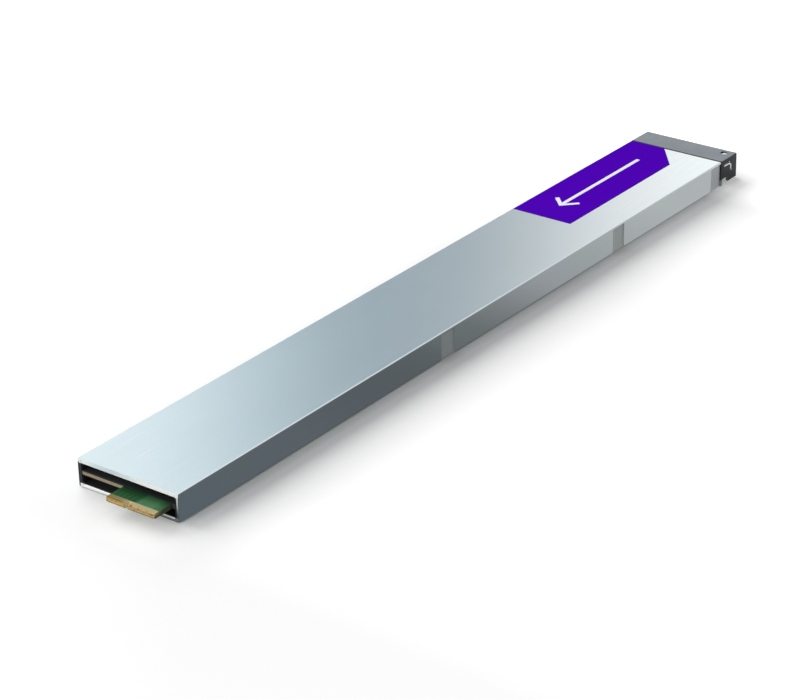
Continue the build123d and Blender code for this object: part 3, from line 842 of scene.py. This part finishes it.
class RULER_OT_packages(bpy.types.Operator):
    """Finish what stands on the board"""
    bl_idname = "ruler.packages"
    bl_label = "Packages on the board"

    def execute(self, context):
        stacks = starting("controller", "dram", "nand", "power_chip")
        paint([n for n in stacks if "pad" not in n], moulding_compound())
        paint([n for n in stacks if "pad" in n], silicone_pad())
        paint(starting("inductor"), pressed_iron())
        paint(starting("hold_up_capacitor"), capacitor_body())
        paint(["coupling_capacitors"], fired_ceramic())
        # Each chip capacitor has a tin cap over each end
        size = coupling_high - coupling_low
        count = 16
        chip = 0.5 * MM
        cap = 0.26 * MM
        proud = 0.03 * MM
        step = ((size.x - chip) / (count - 1), 0, 0)
        block = (chip + proud, cap, size.z + proud)
        rows = []
        for end in (coupling_low.y, coupling_high.y):
            start = (coupling_low.x + chip / 2, end, coupling_low.z + block[2] / 2)
            rows.append((count, start, step, block))
        rows_piece("chip_end_caps", rows, plated_tin())
        return {"FINISHED"}


class RULER_OT_light_pipe(bpy.types.Operator):
    """Finish the light pipe and its lamps"""
    bl_idname = "ruler.light_pipe"
    bl_label = "Light pipe"

    def execute(self, context):
        paint(["light_pipe"], clear_acrylic())
        paint(starting("status_lamp"), lamp_resin())
        return {"FINISHED"}


class RULER_OT_screws(bpy.types.Operator):
    """Plate the screws"""
    bl_idname = "ruler.screws"
    bl_label = "Screws"

    def execute(self, context):
        paint(["case_screws", "bracket_screws"], zinc_steel())
        return {"FINISHED"}


def split_by_ray(tree, camera, metal, rest):
    """One shader for the camera, one for what metal and clear plastic show, and one for all
    other light."""
    path = add(tree, "ShaderNodeLightPath").node.outputs
    shown = add(
        tree, "ShaderNodeMath", {0: path["Is Glossy Ray"], 1: path["Is Transmission Ray"]},
        operation="MAXIMUM")
    unseen = add(tree, "ShaderNodeMixShader", {0: shown, 1: rest, 2: metal})
    return add(tree, "ShaderNodeMixShader", {0: path["Is Camera Ray"], 1: unseen, 2: camera})


def studio_world():
    """The world: white behind the object, an even ambient level, and for what metal reflects
    pale studio walls with greyer bays between them, under a pale ceiling."""
    world = bpy.data.worlds.new("studio")
    bpy.context.scene.world = world
    world.use_nodes = True
    tree = world.node_tree
    tree.nodes.clear()
    direction = add(tree, "ShaderNodeTexCoord", output="Generated")
    x, y, z = add(tree, "ShaderNodeSeparateXYZ", {"Vector": direction}).node.outputs
    turn = add(tree, "ShaderNodeMath", {0: x, 1: y}, operation="ARCTAN2")
    stops = [
        (-180, "#B9C0C4"), (-150, "#D5DADD"), (-120, "#A8B2B9"), (-90, "#DDE2E4"),
        (-60, "#DFECEE"), (-46, "#DCEBEC"), (-44, "#E2EBF1"), (-42, "#C8D6DD"),
        (-40, "#94A8B1"), (-38.5, "#84929B"), (-37, "#7E8D9A"), (-35.5, "#90989C"),
        (-34, "#9EAAB0"), (-32.5, "#D4D6D8"), (-31, "#EEEBED"), (-29.5, "#F0F6F3"),
        (-28, "#F4FCF8"), (-24, "#EEF4F3"), (-7, "#A9B3BA"), (7, "#C4CCD0"),
        (40, "#9AA4AB"), (75, "#D9DEE1"), (95, "#A8B2B9"), (125, "#A2ACB3"),
        (150, "#D5DADD"), (180, "#B9C0C4"),
    ]
    walls = graded(tree, turn, -math.pi, math.pi, [((a + 180) / 360, c) for a, c in stops])
    # The ceiling starts about 40 degrees up and is full at 48
    ceiling = where(tree, (z, 0.62, 0.74))
    walls = lay_over(tree, walls, (ceiling, "#EDF1F2"))
    white = linear("#FFFFFF")
    camera, metal, rest = (
        add(tree, "ShaderNodeBackground", {"Color": colour, "Strength": strength})
        for colour, strength in (
            (white, 1.0), (walls, 1.25), (white, bpy.context.scene.ruler_stage.ambient)))
    add(tree, "ShaderNodeOutputWorld", {"Surface": split_by_ray(tree, camera, metal, rest)})


def floor_material():
    """Pale studio floor: white to the camera apart from the object's soft shadow, clear from
    underneath, and graded from slate to white where metal reflects it."""
    material, tree = new_material("pale_studio_floor")
    x, y = object_xyz(tree)[1:3]
    off_x, off_y = (
        add(tree, "ShaderNodeMath", {0: value}, operation="ABSOLUTE") for value in (x, y))
    away_x = add(tree, "ShaderNodeMath", {0: off_x, 1: cover_high.x}, operation="SUBTRACT")
    away_y = add(tree, "ShaderNodeMath", {0: off_y, 1: bracket_high.y}, operation="SUBTRACT")
    away = add(tree, "ShaderNodeMath", {0: away_x, 1: away_y}, operation="MAXIMUM")
    # Painted shadow, darkest where the sides meet the floor
    contact_shadow = where(
        tree, (away_x, 4.5 * MM, 0.0), (y, -153 * MM, -145 * MM), (y, 150 * MM, 138 * MM))
    lit = add(tree, "ShaderNodeBsdfDiffuse",
              {"Color": lay_over(tree, "#F9F9F9", (contact_shadow, "#D0D0CE"))})
    # A little light of its own keeps the floor white away from the module, and its shadow
    # soft round both ends. Each part is its strength and where it fades in, in millimetres
    parts = [
        (0.12, [(away, 10, 28), (y, -170, -140)]),
        (0.04, [(away, 10, 28)]),
        (0.16, [(away, 30, 200)]),
        (1.0, [(away, 200, 600)]),
        (0.07, [(y, 50, 100), (away, -6, 4)]),
        (0.27, [(y, 136, 149), (away, -6, 4)]),
        (0.03, [(y, -120, -150)]),
        (0.15, [(y, -150, -152.8), (y, -172, -160), (x, -2, 10), (x, 34, 18)]),
    ]
    glow = 0.0
    for strength, fades in parts:
        part = where(tree, *((value, a * MM, b * MM) for value, a, b in fades), strength)
        glow = add(tree, "ShaderNodeMath", {0: part, 1: glow}, operation="ADD")
    # What metal sees along the module's sides: slate at the card edge, paler towards the
    # bracket, and nearly white under and away from the module's ends. Places in millimetres
    first, last = -160, 180
    stops = [
        (-160, "#5A636C"), (-120, "#5C656A"), (-90, "#5F656B"), (-60, "#5A6065"),
        (-40, "#5B6064"), (-23, "#5F6669"), (-15, "#696E70"), (-6, "#6C7374"),
        (2, "#707577"), (20, "#838789"),
        (45, "#9CA0A3"), (80, "#A9ADAE"), (120, "#BABCBD"), (149, "#B9BBBC"),
        (160, "#B8BBBC"), (168, "#F2F5F6"),
    ]
    side = graded(tree, y, first * MM, last * MM,
                  [((a - first) / (last - first), c) for a, c in stops])
    near = where(tree, (off_x, 0.0, 12 * MM), (y, ">", cover_low.y - 1 * MM))
    white = linear("#FFFFFF")
    lift, metal, rest = (
        add(tree, "ShaderNodeEmission", {"Color": colour, "Strength": strength})
        for colour, strength in (
            (white, glow), (lay_over(tree, "#F2F5F6", (near, side)), 1.0), (white, 0.2)))
    camera = add(tree, "ShaderNodeAddShader", {0: lit, 1: lift})
    over = split_by_ray(tree, camera, metal, rest)
    under = add(tree, "ShaderNodeNewGeometry", output="Backfacing")
    clear = add(tree, "ShaderNodeBsdfTransparent")
    both = add(tree, "ShaderNodeMixShader", {0: under, 1: over, 2: clear})
    add(tree, "ShaderNodeOutputMaterial", {"Surface": both})
    return material


def soft_lamp(name, place, size, power):
    """A rectangular lamp that looks at the module and that metal doesn't reflect."""
    light = bpy.data.lights.new(name, "AREA")
    light.shape = "RECTANGLE"
    light.size, light.size_y = size
    light.energy = power
    lamp = bpy.data.objects.new(name, light)
    bpy.context.scene.collection.objects.link(lamp)
    lamp.location = place
    lamp.rotation_mode = "QUATERNION"
    lamp.rotation_quaternion = (-lamp.location).to_track_quat("-Z", "Y")
    lamp.visible_glossy = False
    lamp.visible_camera = False


class RULER_OT_stage(bpy.types.Operator):
    """Build the floor, the lamps, the world and the camera"""
    bl_idname = "ruler.stage"
    bl_label = "Studio"

    def execute(self, context):
        scene = context.scene
        look = scene.ruler_stage
        # The floor lies a hair under the module, so that their faces don't meet
        half, drop = 3.0, -0.2 * MM
        mesh = bpy.data.meshes.new("studio_floor")
        corners = [(-half, -half, drop), (half, -half, drop), (half, half, drop),
                   (-half, half, drop)]
        mesh.from_pydata(corners, [], [(0, 1, 2, 3)])
        mesh.materials.append(floor_material())
        floor = bpy.data.objects.new("studio_floor", mesh)
        scene.collection.objects.link(floor)
        studio_world()
        soft_lamp("key_lamp", (-0.78, 0.1, 0.6), (1.6, 0.75), look.key_power)
        soft_lamp("fill_lamp", (-0.3, -1.0, 0.38), (1.0, 0.6), look.fill_power)
        camera_data = bpy.data.cameras.new("camera")
        camera_data.lens = look.lens
        camera_data.sensor_width = 36.0
        camera_data.clip_start = 0.01
        camera_data.clip_end = 20.0
        camera = bpy.data.objects.new("camera", camera_data)
        scene.collection.objects.link(camera)
        # The camera's axes and place, fitted to the corners of the module in the photograph
        right = Vector((0.80261, 0.596213, -0.018633))
        up = Vector((-0.248442, 0.362519, 0.898252))
        back = Vector((0.542305, -0.716317, 0.439085))
        turn = Matrix((right, up, back)).transposed().to_4x4()
        turn.translation = Vector((0.466562, -0.635723, 0.373818))
        camera.matrix_world = turn
        scene.camera = camera
        scene.view_settings.view_transform = "Standard"
        return {"FINISHED"}


class RULER_PT_panel(bpy.types.Panel):
    """Lists the steps that dress the module"""
    bl_label = "Ruler module"
    bl_idname = "RULER_PT_panel"
    bl_space_type = "VIEW_3D"
    bl_region_type = "UI"
    bl_category = "Ruler module"

    def draw(self, context):
        layout = self.layout
        for group in property_groups:
            look = getattr(context.scene, group)
            box = layout.box()
            for key in look.bl_rna.properties.keys():
                if key not in ("rna_type", "name"):
                    box.prop(look, key)
        for operator in operators:
            layout.operator(operator.bl_idname)


property_groups = {
    "ruler_case": RulerCaseProps,
    "ruler_bracket": RulerBracketProps,
    "ruler_label": RulerLabelProps,
    "ruler_board": RulerBoardProps,
    "ruler_stage": RulerStageProps,
}
operators = (
    RULER_OT_case, RULER_OT_bracket, RULER_OT_label, RULER_OT_board, RULER_OT_contacts,
    RULER_OT_packages, RULER_OT_light_pipe, RULER_OT_screws, RULER_OT_stage,
)


def register():
    for group, props in property_groups.items():
        bpy.utils.register_class(props)
        setattr(bpy.types.Scene, group, bpy.props.PointerProperty(type=props))
    for operator in operators:
        bpy.utils.register_class(operator)
    bpy.utils.register_class(RULER_PT_panel)


def unregister():
    bpy.utils.unregister_class(RULER_PT_panel)
    for operator in reversed(operators):
        bpy.utils.unregister_class(operator)
    for group, props in property_groups.items():
        delattr(bpy.types.Scene, group)
        bpy.utils.unregister_class(props)


def main():
    register()
    for operator in operators:
        getattr(bpy.ops.ruler, operator.bl_idname.split(".")[1])()


if __name__ == "__main__":
    main()
